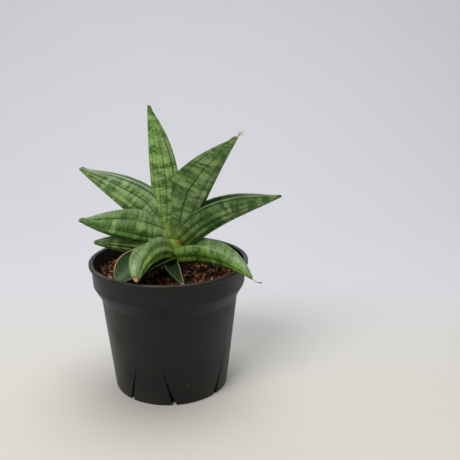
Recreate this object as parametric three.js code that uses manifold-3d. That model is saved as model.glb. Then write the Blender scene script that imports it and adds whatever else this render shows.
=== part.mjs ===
// A dwarf snake plant in a slotted nursery pot. Millimetres, +Z up.
// The origin is the centre of the pot's underside, which stands on z = 0.
// Headings are plan angles in degrees: 0 is +X (right), 90 is +Y (back), 270 is -Y (front).
// The pot, its potting mix and the plant's rootstock are turned and lofted solids; each leaf is
// lofted along its keel, and the outer leaves clasp the inner ones.
import * as THREE from "three";
import { LoftGeometry } from "three/addons/geometries/LoftGeometry.js";
import { mergeVertices } from "three/addons/utils/BufferGeometryUtils.js";
import Module from "manifold-3d";

const wasm = await Module();
wasm.setup();

// ---------------------------------------------------------------- driving dimensions
const GAP = 0.35; // air left between pieces that touch in life
const FRONT = 270; // heading

const POT = {
  height: 75,
  rimRadius: 45, // outside of the lip
  lipHeight: 2.4,
  lipReach: 1.3, // how far the lip stands out of the collar
  lipRound: 0.6,
  collarHeight: 12.6, // lip top to the collar's lower edge
  collarDraft: 0.7, // how much narrower the collar is at its lower edge
  stepHeight: 7.6, // slanted step under the collar
  stepReach: 4.2,
  footRadius: 32.8, // outside of the wall at the ground
  footRound: 1.8,
  wall: 1.1,
  floor: 1.3,
  floorRise: 1.8, // air under the raised part of the floor
  footRing: 3.4, // width of the ring that the pot stands on
  hubRadius: 9, // flat disc in the middle of the underside
  sides: 64,
};

const SLIT = {
  count: 8,
  start: 7, // heading of the first slit, from the front
  height: 24,
  width: 2.6, // at the ground
  tipWidth: 0.6,
  lean: 6.5, // sideways drift from the ground to the tip, alternately left and right
  intoFloor: 5, // how far the slit runs in under the pot
};

const MIX = {
  wallDepth: 8.5, // below the lip at the wall
  crownDepth: 5.5, // below the lip around the stem
  rings: 5,
};

const CROWN = { x: 4, y: -2 }; // where the plant's short stem stands in the pot

const STEM = {
  aboveLip: 14,
  topRadius: 5.6,
  soilRadius: 6.4,
  footDepth: 23.5, // below the mix's crown
  footRadius: 6.2,
  sides: 20,
};

// The thick underground stem, with rounded ends, that the roots grow from.
const RHIZOME = {
  length: 34,
  radius: 5.6,
  heading: 205,
  depth: 22.5, // of its axis, below the mix's crown
  sides: 14,
  capSteps: 3,
};

const ROOT = {
  count: 6,
  radius: 1.3,
  start: 30, // heading of the first root
  sway: 2.6,
  wallClearance: 3.4, // mix left between a root's end and the pot's wall
  floorClearance: 13.5, // mix left under a root's end
  sides: 6,
  steps: 7,
};

const LEAF = {
  rings: 13, // from base to tip
  keelSteps: 6, // between rings, to follow the keel's bend
  innerSteps: 4,
  hullSteps: 8,
  rimShare: 0.3, // thickness of a rim, as a share of the wall at the keel
  channelEnd: 1.5, // how late the channel fills up towards the tip
  rimDrop: 4, // how late the rims sink to the middle of the round tip
};

// Each leaf: where its keel leaves the stem (out from the crown along the heading, and above the
// pot's lip), where it points and how far it turns, how steeply its keel climbs at base, middle
// and tip, its length, its breadth between rims, its depth from rims to keel, its wall, how far
// the channel is rolled to the right of the heading, the breadth and depth of its neck on the
// stem, where it is fullest, how full it stays towards the tip, and the blunt tip's diameter.
// A low leaf takes its length from how far it reaches past the pot's lip, or stops short of it.
const LEAVES = [
  {
    name: "leaf_upright",
    out: 8.2,
    aboveLip: 13,
    heading: 198,
    turn: 0,
    rise: [78, 87, 90],
    length: 74,
    breadth: 13,
    depth: 13.6,
    wall: 4.6,
    roll: 0,
    neck: [4.5, 6],
    fullest: 0.42,
    taper: 1.9,
    tip: 1.6,
    color: 0x6d9350,
  },
  {
    name: "leaf_upper_right",
    out: 7,
    aboveLip: 10,
    heading: 345,
    turn: 0,
    rise: [68, 64, 60],
    length: 67.5,
    breadth: 14,
    depth: 20.5,
    wall: 5,
    roll: 0,
    neck: [7.5, 8.6],
    fullest: 0.44,
    taper: 1.35,
    tip: 1.6,
    color: 0x64894a,
  },
  {
    name: "leaf_upper_left",
    out: 6.6,
    aboveLip: 8,
    heading: 184,
    turn: 0,
    rise: [50, 43, 48],
    length: 63,
    breadth: 14,
    depth: 18.2,
    wall: 5,
    roll: 6,
    neck: [8.5, 7],
    fullest: 0.42,
    taper: 1.45,
    tip: 1.6,
    color: 0x71975a,
  },
  {
    name: "leaf_right",
    out: 7,
    aboveLip: 5,
    heading: 358,
    turn: 0,
    rise: [48, 28, 28],
    length: 61.5,
    breadth: 14,
    depth: 15,
    wall: 5,
    roll: 0,
    neck: [10.5, 13],
    fullest: 0.34,
    taper: 1.5,
    tip: 1.4,
    color: 0x5f8545,
  },
  {
    name: "leaf_left",
    out: 2,
    aboveLip: 7.5,
    heading: 195,
    turn: 0,
    rise: [10, 19, 36],
    length: 54.5,
    breadth: 14,
    depth: 17,
    wall: 5,
    roll: 16,
    neck: [12, 11.6],
    fullest: 0.44,
    taper: 1.6,
    tip: 1.4,
    color: 0x6b9152,
  },
  {
    name: "leaf_front_right",
    out: 5,
    aboveLip: -1.5,
    heading: 328,
    turn: 0,
    rise: [16, 0, -25],
    pastLip: 12.85,
    breadth: 14,
    depth: 11,
    wall: 4.4,
    roll: 0,
    neck: [11, 9],
    fullest: 0.36,
    taper: 1.6,
    tip: 1.5,
    color: 0x668c49,
  },
  {
    name: "leaf_front_left",
    out: 6,
    aboveLip: 1,
    heading: 249,
    turn: 0,
    rise: [24, 2, -30],
    pastLip: 4.1,
    breadth: 11,
    depth: 11.5,
    wall: 4.4,
    roll: 30,
    neck: [9.5, 9],
    fullest: 0.42,
    taper: 2.4,
    tip: 3,
    color: 0x6f9650,
  },
  {
    name: "leaf_low_left",
    out: 6,
    aboveLip: 1,
    heading: 182,
    turn: 0,
    rise: [12, 10, 22],
    pastLip: 0.5,
    breadth: 11,
    depth: 9,
    wall: 3.8,
    roll: 0,
    neck: [8, 6.5],
    fullest: 0.4,
    taper: 1.8,
    tip: 1.6,
    color: 0x5c8144,
  },
  {
    name: "leaf_low_front_left",
    out: 6,
    aboveLip: 1,
    heading: 226,
    turn: 2,
    rise: [4, -8, -24],
    pastLip: -0.7,
    breadth: 19,
    depth: 7,
    wall: 3,
    roll: -20,
    neck: [12, 5],
    fullest: 0.55,
    taper: 2.6,
    tip: 2,
    color: 0x48703a,
  },
  {
    name: "leaf_low_front",
    out: 6,
    aboveLip: -2,
    heading: 262,
    turn: 44,
    rise: [10, -2, -10],
    pastLip: -3,
    breadth: 8,
    depth: 4,
    wall: 2.4,
    roll: 0,
    neck: [6, 3],
    fullest: 0.45,
    taper: 1.8,
    tip: 1.5,
    color: 0x3f6132,
  },
  {
    name: "leaf_low_back",
    out: 6,
    aboveLip: -1,
    heading: 98,
    turn: 0,
    rise: [22, 6, -6],
    pastLip: 1,
    breadth: 13,
    depth: 9,
    wall: 4,
    roll: 0,
    neck: [9, 6.5],
    fullest: 0.4,
    taper: 1.8,
    tip: 1.5,
    color: 0x5c8144,
  },
];

const DRY_SCALE = {
  name: "dry_scale",
  out: 8.4,
  aboveLip: 9.6,
  heading: 294,
  turn: 0,
  rise: [70, 80, 84],
  length: 5,
  breadth: 4,
  depth: 1.2,
  wall: 0.8,
  roll: 0,
  neck: [3.6, 1.1],
  fullest: 0.4,
  taper: 1.8,
  tip: 0.8,
  color: 0xb06a34,
};

// ---------------------------------------------------------------- levels and places
const { degToRad: radians, lerp, smoothstep } = THREE.MathUtils;

const collarFoot = POT.height - POT.collarHeight;
const stepFoot = collarFoot - POT.stepHeight;
const lipFoot = POT.height - POT.lipHeight;
const floorTop = POT.floorRise + POT.floor;
const mixBottom = floorTop + GAP;
const mixEdge = POT.height - MIX.wallDepth;
const mixCrown = POT.height - MIX.crownDepth;

// Outside radius of the pot's wall at a height, lip left out.
function potRadius(z) {
  const collarTop = POT.rimRadius - POT.lipReach;
  const collarBottom = collarTop - POT.collarDraft;
  const bodyTop = collarBottom - POT.stepReach;
  if (z >= collarFoot) {
    return lerp(collarBottom, collarTop, (z - collarFoot) / POT.collarHeight);
  }
  if (z >= stepFoot) {
    return lerp(bodyTop, collarBottom, (z - stepFoot) / POT.stepHeight);
  }
  return lerp(POT.footRadius, bodyTop, z / stepFoot);
}

// Distance from the crown to the inside of the pot's mouth, along a heading.
function roomToLip(heading) {
  const angle = radians(heading);
  const ahead = CROWN.x * Math.cos(angle) + CROWN.y * Math.sin(angle);
  const mouth = potRadius(POT.height) - POT.wall;
  return Math.sqrt(mouth ** 2 - CROWN.x ** 2 - CROWN.y ** 2 + ahead ** 2) - ahead;
}

// ---------------------------------------------------------------- solids
const MERGE = 1e-4;

function solidFrom(geometry) {
  const bare = new THREE.BufferGeometry();
  bare.setAttribute("position", geometry.getAttribute("position"));
  bare.setIndex(geometry.getIndex());
  const merged = mergeVertices(bare, MERGE);
  return new wasm.Manifold(
    new wasm.Mesh({
      numProp: 3,
      vertProperties: merged.attributes.position.array,
      triVerts: new Uint32Array(merged.index.array),
    }),
  );
}

function geometryFrom(solid) {
  const mesh = solid.getMesh();
  const geometry = new THREE.BufferGeometry();
  geometry.setAttribute("position", new THREE.BufferAttribute(mesh.vertProperties, 3));
  geometry.setIndex(new THREE.BufferAttribute(mesh.triVerts, 1));
  const flat = geometry.toNonIndexed();
  flat.computeVertexNormals();
  return flat;
}

// Cutting a leaf around the ones outside it can leave slivers, which belong to no leaf.
function largestPiece(solid) {
  return solid.decompose().reduce((best, piece) => (piece.volume() > best.volume() ? piece : best));
}

// LatheGeometry turns about Y; this stands its axis up along Z.
function turned(profile, sides) {
  return new THREE.LatheGeometry(profile, sides).rotateX(Math.PI / 2);
}

// ---------------------------------------------------------------- pot
function potProfile() {
  const inside = (z) => potRadius(z) - POT.wall;
  const ringInside = POT.footRadius - POT.footRing;
  const points = [
    [0, 0],
    [POT.hubRadius, 0],
    [POT.hubRadius + POT.floorRise, POT.floorRise],
    [ringInside - POT.floorRise, POT.floorRise],
    [ringInside, 0],
    [POT.footRadius - POT.footRound, 0],
    [potRadius(POT.footRound), POT.footRound],
    [potRadius(stepFoot), stepFoot],
    [potRadius(collarFoot), collarFoot],
    [potRadius(lipFoot), lipFoot],
    [POT.rimRadius, lipFoot + POT.lipRound],
    [POT.rimRadius, POT.height - POT.lipRound],
    [POT.rimRadius - POT.lipRound, POT.height],
    [inside(POT.height), POT.height],
    [inside(collarFoot), collarFoot],
    [inside(stepFoot), stepFoot],
    [inside(floorTop), floorTop],
    [0, floorTop],
  ];
  return points.map(([radius, z]) => new THREE.Vector2(radius, z));
}

// One leaning V-shaped slit, as a wedge that runs out through the wall and down past the foot.
function slitCutter(heading, lean) {
  const outline = new THREE.Shape([
    new THREE.Vector2(-SLIT.width / 2, -POT.floor),
    new THREE.Vector2(SLIT.width / 2, -POT.floor),
    new THREE.Vector2(lean + SLIT.tipWidth / 2, SLIT.height),
    new THREE.Vector2(lean - SLIT.tipWidth / 2, SLIT.height),
  ]);
  const innerEnd = POT.footRadius - SLIT.intoFloor;
  const depth = POT.rimRadius - innerEnd;
  const wedge = new THREE.ExtrudeGeometry(outline, { depth, bevelEnabled: false });
  wedge.translate(0, 0, innerEnd);
  wedge.rotateX(Math.PI / 2); // the outline stands up, the wedge runs towards -Y
  wedge.rotateZ(radians(heading - FRONT));
  return wedge;
}

function makePot() {
  let pot = solidFrom(turned(potProfile(), POT.sides));
  for (let i = 0; i < SLIT.count; i += 1) {
    const heading = FRONT + SLIT.start + (i * 360) / SLIT.count;
    const lean = i % 2 === 0 ? -SLIT.lean : SLIT.lean;
    pot = pot.subtract(solidFrom(slitCutter(heading, lean)));
  }
  return pot;
}

// ---------------------------------------------------------------- rootstock and mix
function stemGeometry(grow) {
  const foot = mixCrown - STEM.footDepth - grow;
  const top = POT.height + STEM.aboveLip + grow;
  const profile = [
    [0, foot],
    [STEM.footRadius + grow, foot],
    [STEM.soilRadius + grow, mixCrown],
    [STEM.topRadius + grow, top],
    [0, top],
  ];
  const stem = turned(profile.map(([radius, z]) => new THREE.Vector2(radius, z)), STEM.sides);
  return stem.translate(CROWN.x, CROWN.y, 0);
}

// It lies level across the foot of the stem.
function rhizomeGeometry(grow) {
  const rhizome = new THREE.CapsuleGeometry(
    RHIZOME.radius + grow,
    RHIZOME.length - 2 * RHIZOME.radius,
    RHIZOME.capSteps,
    RHIZOME.sides,
  );
  rhizome.rotateZ(Math.PI / 2 + radians(RHIZOME.heading));
  return rhizome.translate(CROWN.x, CROWN.y, mixCrown - RHIZOME.depth);
}

// A root leaves the rhizome, sways to one side and the other, and ends near the wall.
function rootGeometry(index, grow) {
  const heading = radians(ROOT.start + (index * 360) / ROOT.count);
  const out = new THREE.Vector3(Math.cos(heading), Math.sin(heading), 0);
  const side = new THREE.Vector3(-out.y, out.x, 0);
  const start = new THREE.Vector3(CROWN.x, CROWN.y, mixCrown - RHIZOME.depth);
  const end = mixBottom + ROOT.floorClearance;
  const innerWall = potRadius(end) - POT.wall - GAP;
  const reach = innerWall - Math.hypot(CROWN.x, CROWN.y) - ROOT.wallClearance - ROOT.radius;
  const sway = index % 2 === 0 ? ROOT.sway : -ROOT.sway;
  const at = (outShare, dropShare, across) =>
    start
      .clone()
      .addScaledVector(out, reach * outShare)
      .addScaledVector(side, across)
      .setZ(lerp(start.z, end, dropShare));
  const path = new THREE.CatmullRomCurve3([
    at(0.1, 0, 0),
    at(0.45, 0.25, sway),
    at(0.8, 0.6, -sway),
    at(1, 1, 0),
  ]);
  const section = new THREE.Shape(
    Array.from({ length: ROOT.sides }, (_, i) => {
      const angle = (i * 2 * Math.PI) / ROOT.sides;
      return new THREE.Vector2(Math.cos(angle), Math.sin(angle)).multiplyScalar(ROOT.radius + grow);
    }),
  );
  return new THREE.ExtrudeGeometry(section, { extrudePath: path, steps: ROOT.steps });
}

function makeRootstock(grow = 0) {
  let rootstock = solidFrom(stemGeometry(grow)).add(solidFrom(rhizomeGeometry(grow)));
  for (let i = 0; i < ROOT.count; i += 1) {
    rootstock = rootstock.add(solidFrom(rootGeometry(i, grow)));
  }
  return rootstock;
}

// Fills the pot to below its lip, and heaps up a little towards the stem.
function mixProfile() {
  const wallAt = (z) => potRadius(z) - POT.wall - GAP;
  const points = [
    [0, mixBottom],
    [wallAt(mixBottom), mixBottom],
    [wallAt(stepFoot), stepFoot],
    [wallAt(collarFoot), collarFoot],
    [wallAt(mixEdge), mixEdge],
  ];
  for (let i = 1; i <= MIX.rings; i += 1) {
    const share = i / MIX.rings;
    const z = lerp(mixEdge, mixCrown, smoothstep(share, 0, 1));
    points.push([wallAt(mixEdge) * (1 - share), z]);
  }
  return points.map(([radius, z]) => new THREE.Vector2(radius, z));
}

// ---------------------------------------------------------------- leaves
// Size at a place along the leaf, from its value at the neck and its full value.
function swell(leaf, s, neck, full) {
  if (s < leaf.fullest) {
    return lerp(neck, full, Math.sin((s / leaf.fullest) * (Math.PI / 2)));
  }
  return lerp(full, leaf.tip, closing(leaf, s));
}

// How far the leaf has closed up towards its tip: 0 where it is fullest, 1 at the tip.
function closing(leaf, s) {
  return Math.max((s - leaf.fullest) / (1 - leaf.fullest), 0) ** leaf.taper;
}

// Direction of the keel: the climb is a quadratic through its base, middle and tip values.
function direction(leaf, s) {
  const [base, middle, tip] = leaf.rise;
  const climb = radians(
    base * (1 - s) * (1 - 2 * s) + middle * 4 * s * (1 - s) + tip * s * (2 * s - 1),
  );
  const heading = radians(leaf.heading + leaf.turn * s);
  return {
    along: new THREE.Vector3(
      Math.cos(climb) * Math.cos(heading),
      Math.cos(climb) * Math.sin(heading),
      Math.sin(climb),
    ),
    up: new THREE.Vector3(
      -Math.sin(climb) * Math.cos(heading),
      -Math.sin(climb) * Math.sin(heading),
      Math.cos(climb),
    ),
  };
}

// The keel's point at each ring, stepped along its direction.
function keel(leaf) {
  const heading = radians(leaf.heading);
  const length = leaf.length ?? roomToLip(leaf.heading) - leaf.out + leaf.pastLip;
  const point = new THREE.Vector3(
    CROWN.x + leaf.out * Math.cos(heading),
    CROWN.y + leaf.out * Math.sin(heading),
    POT.height + leaf.aboveLip,
  );
  const points = [point.clone()];
  const steps = (LEAF.rings - 1) * LEAF.keelSteps;
  for (let i = 1; i <= steps; i += 1) {
    point.addScaledVector(direction(leaf, (i - 0.5) / steps).along, length / steps);
    if (i % LEAF.keelSteps === 0) points.push(point.clone());
  }
  return points;
}

// One closed ring of the section. The hull is an arc from rim to rim with the keel at its foot;
// the inner face follows it a wall's thickness away, and fills up towards the solid, round tip.
function ring(leaf, s, foot, grow) {
  const half = swell(leaf, s, leaf.neck[0], leaf.breadth) / 2;
  const depth = swell(leaf, s, leaf.neck[1], leaf.depth);
  const closed = closing(leaf, s);
  const wall = depth * lerp(leaf.wall / leaf.depth, 1, closed ** LEAF.channelEnd);
  const rimHeight = depth * (1 - closed ** LEAF.rimDrop / 2);
  const rim = Math.min(leaf.wall, half) * LEAF.rimShare;
  const inside = Math.max(half - rim - grow, rim / 2);
  const bend = Math.min(2 * Math.atan(rimHeight / half), Math.PI / 2);
  const arc = (u) => (1 - Math.cos(bend * u)) / (1 - Math.cos(bend));
  const flat = [];
  for (let i = 0; i <= LEAF.innerSteps; i += 1) {
    const u = -1 + (2 * i) / LEAF.innerSteps;
    flat.push([inside * u, lerp(wall, rimHeight, arc(u)) + grow]);
  }
  flat.push([half - rim / 2, rimHeight + rim / 2 + grow]);
  for (let i = 0; i <= LEAF.hullSteps; i += 1) {
    const u = 1 - (2 * i) / LEAF.hullSteps;
    const x = ((half + grow) * Math.sin(bend * u)) / Math.sin(bend);
    flat.push([x, rimHeight * arc(u) - grow]);
  }
  flat.push([rim / 2 - half, rimHeight + rim / 2 + grow]);
  const { along, up } = direction(leaf, s);
  const right = new THREE.Vector3().crossVectors(along, up);
  const roll = radians(leaf.roll);
  const inward = up.clone().multiplyScalar(Math.cos(roll)).addScaledVector(right, Math.sin(roll));
  const across = right.clone().multiplyScalar(Math.cos(roll)).addScaledVector(up, -Math.sin(roll));
  return flat.map(([x, y]) => foot.clone().addScaledVector(across, x).addScaledVector(inward, y));
}

function leafGeometry(leaf, grow = 0) {
  const sections = keel(leaf).map((foot, i) => ring(leaf, i / (LEAF.rings - 1), foot, grow));
  return new LoftGeometry(sections, { capStart: true, capEnd: true });
}

// ---------------------------------------------------------------- assembly
const group = new THREE.Group();

function addPart(name, solid, look) {
  const material = new THREE.MeshStandardMaterial({ metalness: 0, ...look });
  const mesh = new THREE.Mesh(geometryFrom(solid), material);
  mesh.name = name;
  group.add(mesh);
}

addPart("pot", makePot(), { color: 0x2b2b2a, roughness: 0.5 });
addPart("potting_mix", solidFrom(turned(mixProfile(), POT.sides)).subtract(makeRootstock(GAP)), {
  color: 0x7a4a32,
  roughness: 0.95,
});
addPart("rootstock", makeRootstock(), { color: 0xb9925f, roughness: 0.8 });

// Outer leaves clasp the inner ones, so each leaf is shaped around those outside it.
let taken = makeRootstock(GAP);
for (const leaf of [DRY_SCALE, ...LEAVES.slice().reverse()]) {
  const solid = largestPiece(solidFrom(leafGeometry(leaf)).subtract(taken));
  addPart(leaf.name, solid, { color: leaf.color, roughness: 0.45 });
  taken = taken.add(solidFrom(leafGeometry(leaf, GAP)));
}

export default group;
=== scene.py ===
# %% [markdown]
# # A dwarf snake plant in its nursery pot
# The plant is a rosette of thick, boat-shaped leaves on a short stem. It grows in baked, reddish
# granules, in a thin black pot with slits round its foot. Everything here is in metres, with +Z up,
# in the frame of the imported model, which this script loads first and never moves.

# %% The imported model
import bmesh
import bpy
import math
from dataclasses import dataclass
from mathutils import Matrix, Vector


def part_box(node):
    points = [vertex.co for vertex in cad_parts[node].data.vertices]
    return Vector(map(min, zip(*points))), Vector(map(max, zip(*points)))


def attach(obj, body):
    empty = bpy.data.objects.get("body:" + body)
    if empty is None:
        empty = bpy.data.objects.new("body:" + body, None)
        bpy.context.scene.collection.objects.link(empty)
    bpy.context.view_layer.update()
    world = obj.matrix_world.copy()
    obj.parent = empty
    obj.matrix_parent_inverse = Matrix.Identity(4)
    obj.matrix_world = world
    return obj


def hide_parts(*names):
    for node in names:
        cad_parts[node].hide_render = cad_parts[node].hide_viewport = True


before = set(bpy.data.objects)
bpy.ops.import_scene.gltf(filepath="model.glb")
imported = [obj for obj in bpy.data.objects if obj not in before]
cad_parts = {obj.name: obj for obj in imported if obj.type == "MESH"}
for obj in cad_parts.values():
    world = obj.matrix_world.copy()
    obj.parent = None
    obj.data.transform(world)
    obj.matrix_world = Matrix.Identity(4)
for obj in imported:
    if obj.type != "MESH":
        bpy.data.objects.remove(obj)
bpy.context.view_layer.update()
scene = bpy.context.scene
MM = 0.001
FRONT = -math.pi / 2  # heading of the front of the pot
print("nodes:", ", ".join(sorted(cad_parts)))

# %% [markdown]
# The camera stands a little above the plant and looks down on it by 16 degrees, so the rosette is
# seen from the side and the mix in the pot's mouth from above. It comes first, because every later
# choice of detail is judged through it.

# %% Camera
CAMERA_PLACE = Vector((34.7, -351.0, 193.0)) * MM
CAMERA_PITCH = 16.11  # degrees below the horizon
CAMERA_LENS = 50.87

lens = bpy.data.cameras.new("camera")
lens.lens = CAMERA_LENS
lens.clip_start = 0.01
camera = bpy.data.objects.new("camera", lens)
camera.location = CAMERA_PLACE
camera.rotation_euler = (math.radians(90 - CAMERA_PITCH), 0, 0)
scene.collection.objects.link(camera)
scene.camera = camera
print("camera stands", round(CAMERA_PLACE.length, 3), "m from the foot of the pot")

# %% [markdown]
# Rules of shape and of colour are both written as node trees. A small class lets a rule be written
# as a formula: arithmetic on a `Wire` adds the Math node that does it. The same class serves the
# Geometry Nodes trees and the shader trees, because both use the same Math nodes.

# %% Formulas in node trees
def feed(tree, socket, value):
    """Link a wire into a socket, or set the socket to a plain value."""
    if isinstance(value, Wire):
        tree.links.new(value.socket, socket)
    else:
        socket.default_value = value


def place_node(tree, kind, inputs=None, **settings):
    """Add a node, with its settings and its inputs by name or number."""
    node = tree.nodes.new(kind)
    for name, value in settings.items():
        setattr(node, name, value)
    for name, value in (inputs or {}).items():
        feed(tree, node.inputs[name], value)
    return node


def formula(tree, operation, *values):
    """One Math node on plain numbers and wires."""
    node = place_node(tree, "ShaderNodeMath", dict(enumerate(values)), operation=operation)
    return Wire(tree, node.outputs[0])


class Wire:
    """A value in a node tree. Arithmetic on it adds Math nodes."""

    def __init__(self, tree, socket):
        self.tree = tree
        self.socket = socket

    def __add__(self, other):
        return formula(self.tree, "ADD", self, other)

    def __radd__(self, other):
        return formula(self.tree, "ADD", other, self)

    def __sub__(self, other):
        return formula(self.tree, "SUBTRACT", self, other)

    def __rsub__(self, other):
        return formula(self.tree, "SUBTRACT", other, self)

    def __mul__(self, other):
        return formula(self.tree, "MULTIPLY", self, other)

    def __rmul__(self, other):
        return formula(self.tree, "MULTIPLY", other, self)

    def __truediv__(self, other):
        return formula(self.tree, "DIVIDE", self, other)

    def __pow__(self, other):
        return formula(self.tree, "POWER", self, other)

    def at_least(self, other):
        return formula(self.tree, "MAXIMUM", self, other)

    def at_most(self, other):
        return formula(self.tree, "MINIMUM", self, other)

    def below(self, other):
        return formula(self.tree, "LESS_THAN", self, other)

    def sin(self):
        return formula(self.tree, "SINE", self)

    def cos(self):
        return formula(self.tree, "COSINE", self)

    def size(self):
        return formula(self.tree, "ABSOLUTE", self)

    def fraction(self):
        return formula(self.tree, "FRACT", self)

    def whole(self):
        return formula(self.tree, "FLOOR", self)

    def up_to(self, last):
        """Held between 0 and last."""
        return self.at_least(0.0).at_most(float(last))

    def unit(self):
        return self.at_least(0.0).at_most(1.0)


def between(start, end, share):
    """The value a share of the way from start to end."""
    return start + (end - start) * share


def ramp(value, start, end):
    """0 at start, 1 at end, with soft shoulders."""
    tree = value.tree
    inputs = {0: value, 1: start, 2: end}
    node = place_node(tree, "ShaderNodeMapRange", inputs, interpolation_type="SMOOTHSTEP")
    return Wire(tree, node.outputs[0])


def vector(tree, x, y, z):
    node = place_node(tree, "ShaderNodeCombineXYZ", {0: x, 1: y, 2: z})
    return Wire(tree, node.outputs[0])


def scaled(arrow, length):
    tree = arrow.tree
    node = place_node(tree, "ShaderNodeVectorMath", {0: arrow, "Scale": length}, operation="SCALE")
    return Wire(tree, node.outputs[0])


def summed(*arrows):
    tree = arrows[0].tree
    total = arrows[0]
    for arrow in arrows[1:]:
        node = place_node(tree, "ShaderNodeVectorMath", {0: total, 1: arrow}, operation="ADD")
        total = Wire(tree, node.outputs[0])
    return total


def new_tree(name, kind, inputs, outputs):
    """A node group with named sockets. Gives the tree, its inputs as wires and its output node."""
    tree = bpy.data.node_groups.new(name, kind)
    for socket_name, socket_type in inputs.items():
        tree.interface.new_socket(socket_name, in_out="INPUT", socket_type=socket_type)
    for socket_name, socket_type in outputs.items():
        tree.interface.new_socket(socket_name, in_out="OUTPUT", socket_type=socket_type)
    entry = tree.nodes.new("NodeGroupInput")
    wires = {socket_name: Wire(tree, entry.outputs[socket_name]) for socket_name in inputs}
    return tree, wires, tree.nodes.new("NodeGroupOutput")


NUMBER = "NodeSocketFloat"
SHAPE = "NodeSocketGeometry"
print("formulas are ready")

# %% [markdown]
# Colours are written as the 0 to 255 values that a colour picker shows, and turned into the linear
# values that shaders use. A material is a Principled BSDF with its constants set on it directly.

# %% Colours and materials
def srgb(red, green, blue):
    def linear(level):
        level /= 255
        return level / 12.92 if level <= 0.04045 else ((level + 0.055) / 1.055) ** 2.4

    return (linear(red), linear(green), linear(blue), 1.0)


def blend(tree, amount, first, second):
    """Mix two colours by an amount from 0 to 1."""
    inputs = {0: amount, 6: first, 7: second}
    node = place_node(tree, "ShaderNodeMix", inputs, data_type="RGBA")
    return Wire(tree, node.outputs[2])


def cloud(tree, where, scale, detail=2.0, seed=0.0, distortion=0.0):
    """A soft noise, 0 to 1, around a half."""
    inputs = {"Vector": where, "W": seed, "Scale": scale, "Detail": detail, "Distortion": distortion}
    node = place_node(tree, "ShaderNodeTexNoise", inputs, noise_dimensions="4D")
    return Wire(tree, node.outputs[0])


def object_place(tree):
    """Where a point is on the object, in metres."""
    return Wire(tree, tree.nodes.new("ShaderNodeTexCoord").outputs["Object"])


def attribute(tree, name):
    node = place_node(tree, "ShaderNodeAttribute", attribute_name=name)
    return Wire(tree, node.outputs["Fac"])


def new_material(name, **constants):
    """A material with one Principled BSDF. Gives the material, its tree and the shader node."""
    material = bpy.data.materials.new(name)
    material.use_nodes = True
    tree = material.node_tree
    shader = tree.nodes["Principled BSDF"]
    for socket_name, value in constants.items():
        shader.inputs[socket_name.replace("_", " ")].default_value = value
    return material, tree, shader


def use_group(tree, group, **inputs):
    """Place a shader node group. Gives its outputs by name."""
    node = tree.nodes.new("ShaderNodeGroup")
    node.node_tree = group
    for name, value in inputs.items():
        feed(tree, node.inputs[name.replace("_", " ")], value)
    return {socket.name: Wire(tree, socket) for socket in node.outputs}


def add_bump(tree, shader, height, distance, strength=1.0):
    inputs = {"Height": height, "Distance": distance, "Strength": strength}
    node = place_node(tree, "ShaderNodeBump", inputs)
    tree.links.new(node.outputs[0], shader.inputs["Normal"])


def add_mesh(name, mesh, material=None):
    thing = bpy.data.objects.new(name, mesh)
    scene.collection.objects.link(thing)
    if material:
        mesh.materials.append(material)
    return thing


def finish_piece(piece, nodes):
    """Every piece rides on the one body and stands for its CAD nodes."""
    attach(piece, "root")
    if nodes:
        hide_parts(*nodes)
    piece.data.calc_loop_triangles()
    print(piece.name, "has", len(piece.data.loop_triangles), "triangles")


def plain_mesh(thing):
    """Turn an object with live modifiers into one with a plain mesh."""
    evaluated = thing.evaluated_get(bpy.context.evaluated_depsgraph_get())
    mesh = bpy.data.meshes.new_from_object(evaluated)
    thing.modifiers.clear()
    thing.data = mesh
    return thing


def set_inputs(modifier, values):
    """Set a Geometry Nodes modifier's inputs, by each socket's identifier."""
    for socket in modifier.node_group.interface.items_tree:
        if socket.in_out == "INPUT" and socket.name in values:
            modifier[socket.identifier] = values[socket.name]


print("materials can be made")

# %% [markdown]
# ## The floor and the light
# The plant stands on a pale sheet that curves up behind it, so there is no horizon. The light is
# that of a light tent: a soft lamp above the front left, a broad one overhead, a faint one at the
# right and a pale world all round. They leave one soft shadow behind the pot, to the right.

# %% Floor
SHEET_HALF_WIDTH = 1.6
SHEET_FRONT = -0.7
SHEET_BACK = 0.62
SHEET_BEND = 0.35  # radius of the curve between floor and wall
SHEET_TOP = 1.3
SHEET_STEPS = 16  # along the curve


def sheet_outline():
    points = [(SHEET_FRONT, 0.0), (SHEET_BACK - SHEET_BEND, 0.0)]
    for step in range(1, SHEET_STEPS + 1):
        angle = step / SHEET_STEPS * math.pi / 2
        y = SHEET_BACK - SHEET_BEND * (1 - math.sin(angle))
        points.append((y, SHEET_BEND * (1 - math.cos(angle))))
    return points + [(SHEET_BACK, SHEET_TOP)]


sheet_mesh = bpy.data.meshes.new("paper sheet")
outline = sheet_outline()
sheet_corners = [(side * SHEET_HALF_WIDTH, y, z) for y, z in outline for side in (-1, 1)]
sheet_faces = [(2 * i, 2 * i + 1, 2 * i + 3, 2 * i + 2) for i in range(len(outline) - 1)]
sheet_mesh.from_pydata(sheet_corners, [], sheet_faces)
sheet_mesh.shade_smooth()
paper, paper_tree, paper_shader = new_material("paper", Roughness=0.9, Specular_IOR_Level=0.1)
paper_grain = cloud(paper_tree, object_place(paper_tree), 9.0, 3.0)
paper_place = place_node(paper_tree, "ShaderNodeSeparateXYZ", {0: object_place(paper_tree)})
paper_depth = Wire(paper_tree, paper_place.outputs[1])
paper_color = blend(paper_tree, paper_grain, srgb(222, 218, 209), srgb(228, 224, 215))
# painted light: the upright part of the sheet is painted a cooler grey than the floor, for the cool light
# that falls on it
paper_color = blend(paper_tree, ramp(paper_depth, -0.05, 0.2), paper_color, srgb(224, 225, 229))
feed(paper_tree, paper_shader.inputs["Base Color"], paper_color)
sheet = add_mesh("paper_sheet", sheet_mesh, paper)
print("the sheet is", 2 * SHEET_HALF_WIDTH, "m wide")

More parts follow.
